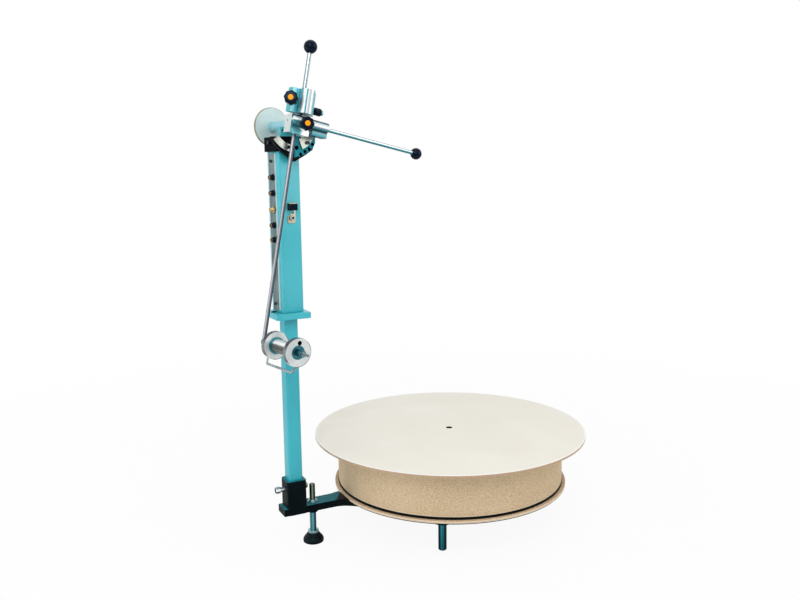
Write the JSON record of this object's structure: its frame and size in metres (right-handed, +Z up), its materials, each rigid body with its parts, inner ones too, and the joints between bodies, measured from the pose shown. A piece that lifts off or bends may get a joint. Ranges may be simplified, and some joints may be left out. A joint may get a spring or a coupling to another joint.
{
  "type": "coil uncoiler",
  "caption": "Free-standing turntable for a flat coil, with a mast at its side carrying a swinging dancer arm, a flanged guide roller and ball-ended balance rods.",
  "frame": {"origin": "on the floor, under the middle of the machine's bounding box", "axes": "+Z up; +X along the frame's arm, from the mast towards the turntable; +Y from the operator's side to the back"},
  "size_m": [0.8894, 0.7, 1.1795],
  "materials": {
    "teal_paint": "semi-gloss turquoise paint",
    "black_paint": "semi-gloss black paint",
    "black_iron": "black painted casting",
    "polished_steel": "polished",
    "steel": "turned steel",
    "aluminium": "brushed",
    "fibreboard": "bare fibreboard",
    "laminate": "white laminate face with a bare edge",
    "plywood": "bare wood edge",
    "rubber": "matt",
    "black_plastic": "moulded, glossy",
    "orange_plastic": "moulded",
    "brass": "turned",
    "white_plastic": "pale, smooth"
  },
  "bodies": {
    "base": {"base_frame": "black_iron", "legs": "polished_steel", "mast_arm": "black_iron", "arm_bolts": "steel", "socket_screws": "polished_steel", "base_sheet": "black_paint", "base_disc": "plywood", "spindle": "steel", "bearings": "steel", "level_nut": "steel"},
    "turntable": {"hub_sleeve": "aluminium", "rotor_plate": "black_paint", "hub_bolts": "steel", "drum_core": "fibreboard", "top_disc": "laminate"},
    "foot": {"level_stud": "steel", "rubber_foot": "rubber"},
    "mast": {"mast_post": "teal_paint", "flange_plate": "teal_paint", "grommet": "rubber"},
    "head": {"swivel_bush": "steel", "mast_housing": "teal_paint", "panel": "aluminium", "panel_screws": "steel", "panel_plugs": "black_plastic", "panel_tips": "brass", "brass_socket": "brass", "sensor_bracket": "aluminium", "sensor_block": "black_plastic", "bracket_screw": "steel", "head_cap": "black_paint", "stop_plate": "steel", "cap_screws": "steel", "pivot_bearing": "teal_paint", "arc_stops": "steel", "arc_screws": "steel"},
    "cross": {"pivot_shaft": "polished_steel", "hub_block": "polished_steel", "block_screw": "steel", "upper_clamp": "polished_steel", "side_clamp": "polished_steel", "dancer_rod": "polished_steel", "axle": "steel", "axle_nut": "steel", "guard_wire": "polished_steel"},
    "roller": {"roller_flanges": "aluminium", "roller_core": "aluminium"},
    "dial": {"dial_disc": "white_plastic", "dial_hub": "aluminium"},
    "upper_handle": {"upper_rod": "polished_steel", "upper_ball_knob": "black_plastic"},
    "side_handle": {"side_rod": "polished_steel", "side_ball_knob": "black_plastic"},
    "pivot_knob_body": {"pivot_knob": "black_plastic", "pivot_knob_cap": "orange_plastic"},
    "upper_knob_body": {"upper_knob": "black_plastic", "upper_knob_cap": "orange_plastic"},
    "side_knob_body": {"side_knob": "black_plastic"}
  },
  "joints": [
    {"name": "drum_spin", "type": "hinge", "parent": "base", "child": "turntable", "pos_m": [0.09466, 0, 0.15], "axis": [0, 0, 1], "continuous": true},
    {"name": "foot_turn", "type": "hinge", "parent": "base", "child": "foot", "pos_m": [-0.29134, 0, 0.06], "axis": [0, 0, 1], "range_deg": [-180, 180]},
    {"name": "mast_height", "type": "slide", "parent": "base", "child": "mast", "axis": [0, 0, 1], "range_m": [0, 0.045]},
    {"name": "head_swivel", "type": "hinge", "parent": "mast", "child": "head", "pos_m": [-0.33734, 0, 0.59], "axis": [0, 0, 1], "range_deg": [-30, 7]},
    {"name": "dancer_swing", "type": "hinge", "parent": "head", "child": "cross", "pos_m": [-0.33213, -0.02954, 0.999], "axis": [-0.1736, 0.9848, 0], "range_deg": [-40, 22]},
    {"name": "roller_spin", "type": "hinge", "parent": "cross", "child": "roller", "pos_m": [-0.40493, -0.17439, 0.52724], "axis": [-0.1736, 0.9848, 0], "continuous": true},
    {"name": "dial_spin", "type": "hinge", "parent": "cross", "child": "dial", "pos_m": [-0.34516, 0.04432, 0.999], "axis": [-0.1736, 0.9848, 0], "continuous": true},
    {"name": "upper_rod_slide", "type": "slide", "parent": "cross", "child": "upper_handle", "axis": [0.198, 0.0349, 0.9796], "range_m": [0, 0.03]},
    {"name": "side_rod_slide", "type": "slide", "parent": "cross", "child": "side_handle", "axis": [0.9647, 0.1701, -0.2011], "range_m": [0, 0.04]},
    {"name": "pivot_knob_turn", "type": "hinge", "parent": "cross", "child": "pivot_knob_body", "pos_m": [-0.31754, -0.10668, 0.9988], "axis": [-0.2004, -0.9768, 0.0753], "continuous": true},
    {"name": "upper_knob_turn", "type": "hinge", "parent": "cross", "child": "upper_knob_body", "pos_m": [-0.349, -0.09774, 1.05282], "axis": [-0.4265, -0.8967, 0.1182], "continuous": true},
    {"name": "side_knob_turn", "type": "hinge", "parent": "cross", "child": "side_knob_body", "pos_m": [-0.27892, -0.06281, 1.0272], "axis": [0.9647, 0.1701, -0.2011], "continuous": true}
  ]
}
